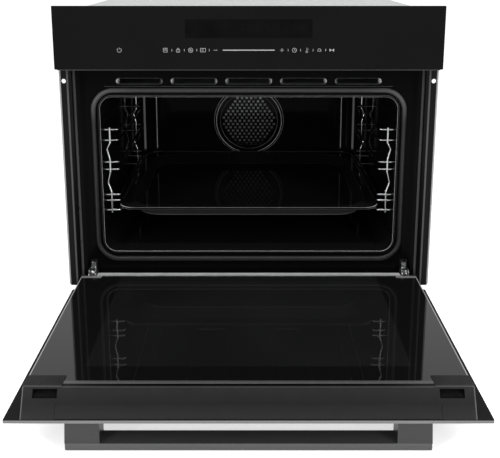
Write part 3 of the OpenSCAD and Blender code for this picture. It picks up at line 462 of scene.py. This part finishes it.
def heater_tube():
    m = Finish("heater_tube", (0.16, 0.15, 0.14), 0.45, metallic=0.8)
    m.mix(m.range(m.noise(22, 3), 0, 1), (0.12, 0.105, 0.09), (0.2, 0.19, 0.18))
    m.rough(m.noise(200, 3), 0.35, 0.6)
    m.bump((m.noise(1500, 2), 0.03 * MM))
    return m


def moulded(name, color, roughness, level=0.45):
    m = Finish(name, color, roughness, specular_ior_level=level)
    m.mottle(30, 3, 0.08)
    m.rough(m.noise(70, 3), roughness * 0.88, roughness * 1.12)
    m.bump((m.noise(2600, 2), 0.04 * MM))
    return m


def cap_plastic():
    """Grained, with painted shade above the step of its sloped face, painted light below the step
    and on top, painted highlights down its ends, a painted shadow along a groove on top, and
    painted shade deep in its slots.
    """
    shade_above_step, light_below_step, end_highlight = 0.0055, 0.0125, 0.09
    top, groove_shadow, slot = 0.04, 0.003, 0.0005
    face_at, step_at, slot_at = 138 * MM, 154 * MM, 276.5 * MM
    end_x, groove_y = 275.4 * MM, -303.5 * MM
    m = moulded("cap_plastic", (0.0095, 0.0095, 0.0098), 0.36, 0.16)
    down = m.along(CAP_DOWN)
    # Painted shading down the sloped face, darker above the step and lighter below it
    m.over(m.past(down, face_at, 14 * MM), shade_above_step)
    m.over(m.past(down, step_at, 16 * MM), light_below_step)
    # Painted highlights down the ends
    m.over(m.past(m.side(), end_x, 0.6 * MM), end_highlight)
    flat = m.past(m.normal("Z"), 0.9, 0.05)
    # Painted light on the up-facing top
    m.over(flat, top)
    # Painted shadow along the groove beside the rail
    m.over(m.both(flat, m.ridge(m.axis("Y"), groove_y, 1.1 * MM)), groove_shadow)
    # Painted shade deep in the slots
    m.over(m.before(m.along(-CAP_INTO), slot_at, 2 * MM), slot)
    return m


def rail_plastic():
    return moulded("rail_plastic", (0.055, 0.055, 0.056), 0.35)


def board_plastic():
    return moulded("board_plastic", (0.05, 0.053, 0.053), 0.5)


def carrier_plastic():
    return moulded("carrier_plastic", (0.016, 0.0165, 0.0165), 0.45)


def board():
    """Green circuit board, with paler tracks."""
    m = Finish("board", (0.03, 0.12, 0.06), 0.35)
    tracks = m.before(m.cells(220, output="Distance", feature="DISTANCE_TO_EDGE"), 0.02, 0.04)
    m.mix(tracks, (0.02, 0.1, 0.045), (0.06, 0.2, 0.1))
    m.bump((tracks, 0.03 * MM))
    return m


def gasket_rubber():
    """Knitted glass-fibre tube, with painted highlights along the top and most at its upper
    corners.
    """
    top, top_z = 0.035, 300 * MM
    corner, corner_x, corner_z = 0.065, 185 * MM, 270 * MM
    m = Finish("gasket_rubber", (0.010, 0.010, 0.0106), 0.32, specular_ior_level=0.2)
    m.mottle(60, 3, 0.15)
    # Painted highlight along the top run
    m.over(m.past(m.axis("Z"), top_z, 18 * MM), top)
    # Painted highlight at the upper corners
    near_top = m.past(m.axis("Z"), corner_z, 35 * MM)
    m.over(m.both(m.past(m.side(), corner_x, 55 * MM), near_top), corner)
    m.rough(m.noise(300, 2), 0.26, 0.42)
    m.bump((m.cells(700, output="Distance"), 0.08 * MM))
    return m


def mineral_wool():
    m = Finish("mineral_wool", (0.55, 0.5, 0.36), 0.95, sheen_weight=0.3)
    fibre = m.noise(260, 5, stretch=(1, 0.2, 1))
    m.mix(m.range(fibre, 0, 1), (0.4, 0.35, 0.22), (0.68, 0.63, 0.5))
    m.bump((fibre, 0.6 * MM), (m.noise(30, 3), 2 * MM))
    return m


def ceramic_white():
    m = Finish("ceramic_white", (0.74, 0.72, 0.67), 0.4)
    m.mottle(90, 3, 0.05)
    m.rough(m.noise(120, 2), 0.3, 0.5)
    return m


def fan_metal():
    m = Finish("fan_metal", (0.5, 0.5, 0.52), 0.38, metallic=1.0)
    m.rough(m.noise(140, 3), 0.3, 0.5)
    m.bump((m.noise(1400, 2), 0.02 * MM))
    return m


def edge_highlight(name, shade):
    """Painted highlight along the rounded edge of bent or cut steel."""
    m = Finish(name, (shade, shade, shade * 1.02), 0.25)
    m.mottle(45, 3, 0.3)
    return m


# Painted highlights along rounded edges, of three brightnesses
def coat_edge():
    return edge_highlight("coat_edge", 0.13)


def rim_edge():
    return edge_highlight("rim_edge", 0.6)


def liner_edge():
    return edge_highlight("liner_edge", 0.045)


def frame_edge():
    """Painted highlight on the rounded edges, brightest round the mouth of the cavity."""
    mouth = 0.45
    low, high, corner = (-240 * MM, 49 * MM), (240 * MM, 312 * MM), 20 * MM
    m = edge_highlight("frame_edge", 0.07)
    # Painted highlight round the mouth
    m.over(m.ridge(m.outline(low, high, corner), 0.2 * MM, 1.2 * MM), mouth)
    return m


def cover_edge():
    """Painted highlights on the rims of the holes and where the rings are, and darker edges between
    them.
    """
    between, grille_radius = 0.01, 58 * MM
    m = edge_highlight("cover_edge", 0.13)
    m.over(m.past(m.radius(FAN_Z), grille_radius, 1.0 * MM), between)
    return cover_ring_highlights(m)


def tray_edge():
    """Painted highlight along the front rim of the tray, brightest near its ends."""
    rim_highlight, rim_y = 0.10, 46 * MM
    ends, ends_x = 0.9, 195 * MM
    m = edge_highlight("tray_edge", 0.02)
    front = m.before(m.axis("Y"), rim_y, 14 * MM)
    # Painted highlight along the front rim
    m.over(front, rim_highlight)
    # Painted glints near the ends of the rim
    m.over(m.both(front, m.past(m.side(), ends_x, 20 * MM)), ends)
    return m


def glass_edge():
    """Ground edge of a pane."""
    m = Finish("glass_edge", (0.15, 0.153, 0.153), 0.3)
    m.mottle(400, 2, 0.15)
    return m


def plastic_edge():
    """Painted highlights on the cap's rounded edges, palest down its ends."""
    end_highlight, end_x = 0.4, 274 * MM
    m = Finish("plastic_edge", (0.04, 0.04, 0.041), 0.3)
    m.mottle(60, 3, 0.2)
    # Painted highlights down the ends
    m.over(m.past(m.side(), end_x, 1.0 * MM), end_highlight)
    return m


def panel_print():
    """Pale ceramic print on the control panel."""
    m = Finish("panel_print", (0.3, 0.3, 0.3), 0.5)
    m.mottle(900, 2, 0.1)
    return m


def slot_shadow_black():
    """Painted shade: a matt black standing in for the shade of the door's inside, seen through the
    slots.
    """
    m = Finish("slot_shadow_black", (0.006, 0.006, 0.006), 0.8, specular_ior_level=0.0)
    m.mottle(200, 3, 0.2)
    return m


def display_dark():
    """Window of the display, a little darker than the glass round it."""
    m = Finish("display_dark", (0.0016, 0.0016, 0.0017), 0.03, specular_ior_level=0.045)
    m.mottle(40, 3, 0.4)
    m.rough(m.noise(9, 4), 0.02, 0.06)
    return m


def display_print():
    """Segments of the unlit display, which barely show through the glass."""
    m = Finish("display_print", (0.0036, 0.0036, 0.0038), 0.2, specular_ior_level=0.045)
    m.mottle(500, 2, 0.3)
    return m


FINISHES = {make.__name__: make() for make in (
    black_glass, door_glass, pane_glass, clear_glass,
    black_enamel, cavity_enamel, cover_enamel, tray_enamel, frame_enamel, trim_black, side_trim,
    chrome_wire, dark_steel, shaded_post_steel, steel_part, fan_metal, heater_tube,
    zinc_sheet, lit_top_zinc, zinc_forged, shaded_chamber_zinc, vent_zinc, profile_zinc,
    cap_plastic, rail_plastic, board_plastic, carrier_plastic, board,
    gasket_rubber, mineral_wool, ceramic_white,
    coat_edge, rim_edge, liner_edge, frame_edge, cover_edge, tray_edge, glass_edge, plastic_edge,
    panel_print, slot_shadow_black, display_dark, display_print)}

# Nodes whose finish differs from others of their material
OWN_FINISH = {
    "door_outer_glass": "door_glass", "cavity_liner": "cavity_enamel", "baking_tray": "tray_enamel",
    "side_trim_left": "side_trim", "side_trim_right": "side_trim", "vent_nozzles": "vent_zinc",
    "door_bottom_profile": "profile_zinc", "fan_chamber": "shaded_chamber_zinc",
    "fan_cover": "cover_enamel", "control_panel_carrier": "carrier_plastic",
    "handle_post_left": "shaded_post_steel", "handle_post_right": "shaded_post_steel", "casing_top": "lit_top_zinc"}

# Nodes whose edges are rounded: width in millimetres, and the finish on those edges, which paints a
# highlight except on the ground edges of panes
SOFTENED = (
    ("front_frame", 0.3, "frame_edge"), ("cavity_liner", 0.5, "liner_edge"),
    ("fan_cover", 0.3, "cover_edge"), ("baking_tray", 0.4, "tray_edge"),
    ("door_bottom_profile", 0.5, "rim_edge"), ("door_top_cap", 0.5, "plastic_edge"),
    ("control_panel_glass", 0.25, "coat_edge"), ("door_outer_glass", 0.4, "glass_edge"),
    ("door_inner_pane", 0.4, "glass_edge"), ("side_trim_left", 0.5, None),
    ("side_trim_right", 0.5, None), ("handle_bar", 0.5, None), ("handle_post_left", 0.5, None),
    ("handle_post_right", 0.5, None), ("hinge_arm_left", 0.5, None), ("hinge_arm_right", 0.5, None))


def dress(obj, finish):
    obj.data.materials.clear()
    obj.data.materials.append(FINISHES[finish].mat)


def dress_frame():
    for part in PARTS:
        node = part["node"]
        dress(NODES[node], OWN_FINISH.get(node, part["material_slot"]))


# ---------- mesh helpers ----------

def new_piece(name, mesh, finish, body):
    """Makes a piece of a finished bmesh, with all its faces turned outward."""
    bmesh.ops.recalc_face_normals(mesh, faces=mesh.faces)
    data = bpy.data.meshes.new(name)
    mesh.to_mesh(data)
    mesh.free()
    obj = bpy.data.objects.new(name, data)
    bpy.context.scene.collection.objects.link(obj)
    dress(obj, finish)
    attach(obj, body)


def join_rings(mesh, first, second):
    """Faces between two rings of as many points each."""
    for i in range(len(first)):
        j = (i + 1) % len(first)
        mesh.faces.new((first[i], first[j], second[j], second[i]))


def soften(node, width, edge):
    """Rounds the sharp edges of a rigid node, with a finish of their own where one is named."""
    obj = NODES[node]
    weld = obj.modifiers.new("weld", "WELD")
    weld.merge_threshold = 0.01 * MM
    bevel = obj.modifiers.new("bevel", "BEVEL")
    bevel.width = width
    bevel.segments = 2
    bevel.limit_method = "ANGLE"
    bevel.angle_limit = math.radians(35)
    bevel.harden_normals = True
    if edge:
        obj.data.materials.append(FINISHES[edge].mat)
        bevel.material = len(obj.data.materials) - 1


class Print:
    """Flat marks on an upright surface at Y, each a thin closed prism. X across, Z up."""

    def __init__(self, y, depth):
        self.mesh = bmesh.new()
        self.y = y
        self.depth = depth

    def shape(self, points):
        front = [self.mesh.verts.new((x, self.y - self.depth, z)) for x, z in points]
        back = [self.mesh.verts.new((x, self.y, z)) for x, z in points]
        self.mesh.faces.new(front)
        self.mesh.faces.new(back[::-1])
        join_rings(self.mesh, back, front)

    def line(self, x0, z0, x1, z1, width):
        along = Vector((x1 - x0, z1 - z0)).normalized()
        side = Vector((-along.y, along.x)) * width / 2
        self.shape([(x0 + side.x, z0 + side.y), (x0 - side.x, z0 - side.y),
                    (x1 - side.x, z1 - side.y), (x1 + side.x, z1 + side.y)])

    def box(self, x, z, w, h, width):
        upright = h / 2 - width / 2
        for s in (-1, 1):
            self.line(x - w / 2, z + s * h / 2, x + w / 2, z + s * h / 2, width)
            self.line(x + s * w / 2, z - upright, x + s * w / 2, z + upright, width)

    def arc(self, x, z, radius, width, start=0.0, turn=360.0, steps=20):
        angles = [math.radians(start + turn * i / steps) for i in range(steps + 1)]
        outer, inner = radius + width / 2, radius - width / 2
        for a, b in zip(angles, angles[1:]):
            self.shape([(x + r * math.cos(t), z + r * math.sin(t))
                        for r, t in ((outer, a), (inner, a), (inner, b), (outer, b))])


# ---------- door cap ----------

def slot_shadow_liner(side, name):
    """Painted shade: a matt black liner of one slot in the door's cap, with thin walls round a
    floor that slopes away upward.
    """
    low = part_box("door_top_cap")[0]
    across = Vector((1, 0, 0))
    width, height, wall = 30.3 * MM, 10.8 * MM, 0.5 * MM
    top, floor_top, floor_low = 0.3 * MM, 6.4 * MM, 2.4 * MM
    from_middle, from_foot = 249 * MM, 29.5 * MM
    centre = Vector((side * from_middle, low.y, low.z)) - CAP_DOWN * from_foot
    mesh = bmesh.new()

    def ring(inset, depths):
        w, h = width / 2 - inset, height / 2 - inset
        corners = [(across * x * w + CAP_DOWN * y * h, depths[y > 0])
                   for x, y in ((-1, -1), (1, -1), (1, 1), (-1, 1))]
        return [mesh.verts.new(centre + corner + CAP_INTO * depth) for corner, depth in corners]

    mouth = ring(0, (top, top))
    lip = ring(wall, (top, top))
    floor = ring(wall, (floor_top, floor_low))
    under = ring(0, (floor_top + wall, floor_low + wall))
    for first, second in ((mouth, lip), (lip, floor), (under, mouth)):
        join_rings(mesh, first, second)
    mesh.faces.new(floor)
    mesh.faces.new(under[::-1])
    new_piece(name, mesh, "slot_shadow_black", "door")


def cap_rail():
    """Low rounded rail along the cap, beside the inner pane and between the raised corners."""
    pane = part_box("door_inner_pane")
    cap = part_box("door_top_cap")
    raised_corner = 48 * MM
    half = cap[1].x - raised_corner
    width, height, slope = 5.8 * MM, 0.7 * MM, 0.5 * MM
    y, z = pane[0].y, pane[1].z
    far, shoulder, crest = y - width, z + height - slope, z + height
    profile = [(y, z), (y, shoulder), (y - slope, crest),
               (far + slope, crest), (far, shoulder), (far, z)]
    mesh = bmesh.new()
    ends = [[mesh.verts.new((x, *point)) for point in profile] for x in (-half, half)]
    mesh.faces.new(ends[0])
    mesh.faces.new(ends[1][::-1])
    join_rings(mesh, ends[1], ends[0])
    new_piece("cap_rail", mesh, "rail_plastic", "door")


# ---------- control panel ----------

class TouchRow(Print):
    """Generic touch symbols, each centred on one height."""

    stroke = 0.65 * MM

    def __init__(self, y, depth, z):
        super().__init__(y, depth)
        self.z = z

    def mark(self, x0, up0, x1, up1):
        """A stroke between two points, with their heights given from the row's own."""
        self.line(x0, self.z + up0, x1, self.z + up1, self.stroke)

    def power(self, x):
        self.arc(x, self.z, 3.2 * MM, self.stroke, 125, 290)
        self.mark(x, 1.0 * MM, x, 4.0 * MM)

    def shelves(self, x):
        size = 6 * MM
        self.box(x, self.z, size, size, self.stroke)
        self.mark(x - size / 2, 0, x + size / 2, 0)
        self.mark(x, 0, x, size / 2)

    def lock(self, x):
        self.box(x, self.z - 1.2 * MM, 5 * MM, 4 * MM, self.stroke)
        self.arc(x, self.z + 1 * MM, 1.8 * MM, self.stroke, 0, 180, 10)
        self.mark(x, -2 * MM, x, -0.4 * MM)

    def fan(self, x):
        blade = 2 * MM
        self.arc(x, self.z, 3.3 * MM, self.stroke)
        for turn in (0, 60, 120):
            a = math.radians(turn)
            dx, dz = blade * math.cos(a), blade * math.sin(a)
            self.mark(x - dx, -dz, x + dx, dz)

    def book(self, x):
        self.box(x, self.z, 8 * MM, 5.4 * MM, self.stroke)
        self.mark(x, -2.7 * MM, x, 2.7 * MM)
        self.mark(x - 3 * MM, 0, x - 1.2 * MM, 0)

    def clock(self, x):
        self.arc(x, self.z, 3.2 * MM, self.stroke)
        self.mark(x, 0, x, 2 * MM)
        self.mark(x, 0, x + 1.6 * MM, 0)

    def probe(self, x):
        self.arc(x, self.z - 2.2 * MM, 1.4 * MM, self.stroke)
        self.mark(x, -1 * MM, x, 3.6 * MM)
        self.mark(x + 1.2 * MM, 1.4 * MM, x + 2.6 * MM, 1.4 * MM)

    def bell(self, x):
        self.arc(x, self.z, 2.2 * MM, self.stroke, 0, 180, 10)
        self.mark(x - 3 * MM, -1.6 * MM, x + 3 * MM, -1.6 * MM)
        for s in (-1, 1):
            self.mark(x + s * 2.2 * MM, 0, x + s * 2.6 * MM, -1.6 * MM)

    def steam(self, x):
        for s in (-1, 1):
            tip, high, low = (x, self.z), self.z + 2.4 * MM, self.z - 2.4 * MM
            self.shape([tip, (x + s * 3.4 * MM, high), (x + s * 3.4 * MM, low)][::s])


def touch_symbols():
    """One row of symbols with dividers, either side of a slider with its minus and plus."""
    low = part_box("control_panel_glass")[0]
    thickness, height = 0.05 * MM, 30 * MM
    power_x, sign_x, slider_end, divider = -197 * MM, 50.6 * MM, 39.5 * MM, 1.8 * MM
    row = TouchRow(low.y, thickness, low.z + height)
    row.power(power_x)
    for x, draw in ((-127, row.shelves), (-107.5, row.lock), (-88.5, row.fan), (-69.5, row.book),
                    (69.5, row.clock), (88.5, row.probe), (107.5, row.bell), (126.5, row.steam)):
        draw(x * MM)
    for s in (-1, 1):
        for x in (60, 79, 98, 117):
            row.line(s * x * MM, row.z - divider, s * x * MM, row.z + divider, 0.7 * MM)
        row.mark(s * sign_x - 3 * MM, 0, s * sign_x + 3 * MM, 0)
    row.mark(sign_x, -3 * MM, sign_x, 3 * MM)
    row.line(-slider_end, row.z, slider_end, row.z, 1.6 * MM)
    new_piece("touch_symbols", row.mesh, "panel_print", "oven")


def figure(marks, x, z):
    """Seven segments of one figure."""
    w, h, t = 5.6 * MM, 7 * MM, 0.8 * MM
    for level in (-1, 0, 1):
        marks.line(x - w / 2 + t, z + level * h, x + w / 2 - t, z + level * h, t)
    for sx in (-1, 1):
        for sz in (-1, 1):
            marks.line(x + sx * w / 2, z + sz * t, x + sx * w / 2, z + sz * (h - t), t)


def display():
    """A dark window, with unlit figures and a colon that barely show."""
    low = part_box("control_panel_glass")[0]
    height, half_w, half_h, layer = 62.5 * MM, 96.5 * MM, 14.2 * MM, 0.01 * MM
    z = low.z + height
    window = Print(low.y, layer)
    window.shape([(x * half_w, z + up * half_h) for x, up in ((-1, -1), (1, -1), (1, 1), (-1, 1))])
    new_piece("display_window", window.mesh, "display_dark", "oven")
    marks = Print(low.y - layer, layer)
    for x in (-38, -13, -4.5, 5.5, 14, 26, 34.5, 43, 60, 68.5, 77, 85.5):
        figure(marks, x * MM, z)
    for s in (-1, 1):
        marks.arc(0.5 * MM, z + s * 3 * MM, 0.5 * MM, 0.8 * MM, steps=8)
    new_piece("display_segments", marks.mesh, "display_print", "oven")


# ---------- stage ----------

def camera_or_mirror_ray(tree):
    """1 on rays from the camera, and on those that metal and glass pass on."""
    path = tree.nodes.new("ShaderNodeLightPath")
    total = path.outputs["Is Camera Ray"]
    for name in ("Is Glossy Ray", "Is Transmission Ray"):
        add = tree.nodes.new("ShaderNodeMath")
        add.operation = "MAXIMUM"
        tree.links.new(total, add.inputs[0])
        tree.links.new(path.outputs[name], add.inputs[1])
        total = add.outputs[0]
    return total


def make_world(light):
    """White to the eye and in reflections, and a plain soft light on everything else."""
    world = bpy.data.worlds.new("studio")
    bpy.context.scene.world = world
    world.use_nodes = True
    tree = world.node_tree
    background = tree.nodes["Background"]
    background.inputs["Color"].default_value = (1, 1, 1, 1)
    strength = tree.nodes.new("ShaderNodeMapRange")
    strength.inputs["To Min"].default_value = light
    strength.inputs["To Max"].default_value = 1.0
    tree.links.new(camera_or_mirror_ray(tree), strength.inputs["Value"])
    tree.links.new(strength.outputs["Result"], background.inputs["Strength"])


def make_floor(lift):
    """Pale floor just below the object, where its shadow falls."""
    gap, half = 2 * MM, 20.0
    mesh = bpy.data.meshes.new("floor")
    z = CAD_BOX[0].z - gap
    mesh.from_pydata([(-half, -half, z), (half, -half, z), (half, half, z), (-half, half, z)], [],
                     [(0, 1, 2, 3)])
    floor = bpy.data.objects.new("floor", mesh)
    bpy.context.scene.collection.objects.link(floor)
    paper = Finish("floor_paper", (0.86, 0.86, 0.86), 0.9, specular_ior_level=0.0)
    paper.put("Emission Color", (1, 1, 1, 1))
    glow = paper.both(camera_or_mirror_ray(paper.tree), lift)
    paper.link(glow, paper.bsdf.inputs["Emission Strength"])
    mesh.materials.append(paper.mat)


def softbox(name, place, aim, width, height, power):
    light = bpy.data.lights.new(name, "AREA")
    light.shape = "RECTANGLE"
    light.size = width
    light.size_y = height
    light.energy = power
    lamp = bpy.data.objects.new(name, light)
    lamp.location = place
    lamp.rotation_euler = (Vector(aim) - Vector(place)).to_track_quat("-Z", "Y").to_euler()
    bpy.context.scene.collection.objects.link(lamp)


def make_lights():
    """Narrow strips, which draw thin bright lines along edges and round corners."""
    middle = (0, 0, 0.2)
    for side, name in ((-1, "left"), (1, "right")):
        softbox("strip_" + name, (side * 1.2, -1.5, 0.9), middle, width=0.12, height=1.8, power=16)
    softbox("strip_top", (0, -0.6, 2.0), middle, width=2.0, height=0.2, power=22)


def make_camera():
    """Before the open door, above it and looking a little down."""
    aside, distance, height, pitch = 1.2 * MM, 1.079, 0.527, 11.4
    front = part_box("control_panel_glass")[0].y
    camera = bpy.data.cameras.new("camera")
    camera.sensor_width = 36.0
    camera.lens = 51.3
    camera.shift_x = 0.001
    camera.shift_y = -0.25
    eye = bpy.data.objects.new("camera", camera)
    eye.location = (aside, front - distance, height)
    eye.rotation_euler = (math.radians(90 - pitch), 0, 0)
    bpy.context.scene.collection.objects.link(eye)
    bpy.context.scene.camera = eye


# ---------- the scene ----------

dress_frame()
for node, width, edge in SOFTENED:
    soften(node, width * MM, edge)
make_camera()
make_world(light=0.55)
make_floor(lift=0.64)
make_lights()
touch_symbols()
display()
slot_shadow_liner(-1, "slot_shadow_left")
slot_shadow_liner(1, "slot_shadow_right")
cap_rail()
bpy.context.scene.view_settings.view_transform = "Standard"

import json
